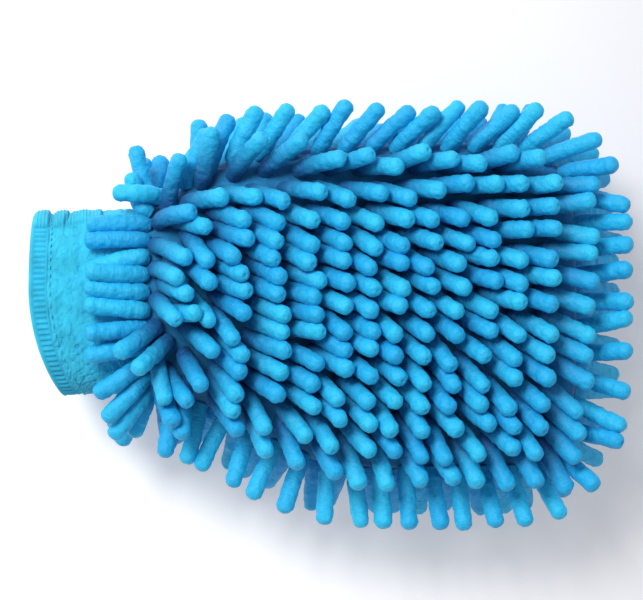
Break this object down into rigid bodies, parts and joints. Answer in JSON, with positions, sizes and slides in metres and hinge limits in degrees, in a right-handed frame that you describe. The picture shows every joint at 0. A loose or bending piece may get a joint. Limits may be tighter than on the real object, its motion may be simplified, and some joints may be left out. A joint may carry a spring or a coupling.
{
  "type": "wash mitt",
  "caption": "Double-sided chenille wash mitt in bright blue, with soft round strands on both faces and round the edge and a stretch-knit cuff with a ribbed hem.",
  "frame": {"origin": "centre of the bounding box in plan, on the surface that the mitt lies on", "axes": "+X from the cuff to the fingertips, +Y across the hand to the upper edge, +Z out of the front panel"},
  "size_m": [0.2392, 0.1726, 0.0836],
  "materials": {
    "chenille": "soft matt cut pile with a light sheen",
    "backing_cloth": "matt woven cloth",
    "lining_cloth": "smooth matt weave",
    "cuff_knit": "puckered stretch knit",
    "hem_rib": "cross-ribbed knit band",
    "elastic": "woven elastic",
    "thread": "polyester sewing thread"
  },
  "bodies": {
    "root": {"front_backing": "backing_cloth", "back_backing": "backing_cloth", "front_lining": "lining_cloth", "back_lining": "lining_cloth", "perimeter_seam": "backing_cloth", "perimeter_stitching": "thread", "front_row_stitching": "thread", "back_row_stitching": "thread", "cuff_knit": "cuff_knit", "cuff_hem_band": "hem_rib", "cuff_elastic": "elastic", "hem_stitching": "thread", "cuff_side_seam": "cuff_knit", "cuff_side_stitching": "thread", "wrist_overlock": "thread", "wrist_stitching": "thread", "front_strand_row_1": "chenille", "front_strand_row_2": "chenille", "front_strand_row_3": "chenille", "front_strand_row_4": "chenille", "front_strand_row_5": "chenille", "front_strand_row_6": "chenille", "front_strand_row_7": "chenille", "front_strand_row_8": "chenille", "front_strand_row_9": "chenille", "front_strand_row_10": "chenille", "front_strand_row_11": "chenille", "front_strand_row_12": "chenille", "front_strand_row_13": "chenille", "front_strand_row_14": "chenille", "back_strand_row_1": "chenille", "back_strand_row_2": "chenille", "back_strand_row_3": "chenille", "back_strand_row_4": "chenille", "back_strand_row_5": "chenille", "back_strand_row_6": "chenille", "back_strand_row_7": "chenille", "back_strand_row_8": "chenille", "back_strand_row_9": "chenille", "back_strand_row_10": "chenille", "back_strand_row_11": "chenille", "back_strand_row_12": "chenille", "back_strand_row_13": "chenille", "back_strand_row_14": "chenille", "front_upper_edge_strands": "chenille", "front_fingertip_edge_strands": "chenille", "front_lower_edge_strands": "chenille", "back_upper_edge_strands": "chenille", "back_fingertip_edge_strands": "chenille", "back_lower_edge_strands": "chenille", "front_wrist_strands": "chenille", "back_wrist_strands": "chenille"}
  },
  "joints": []
}
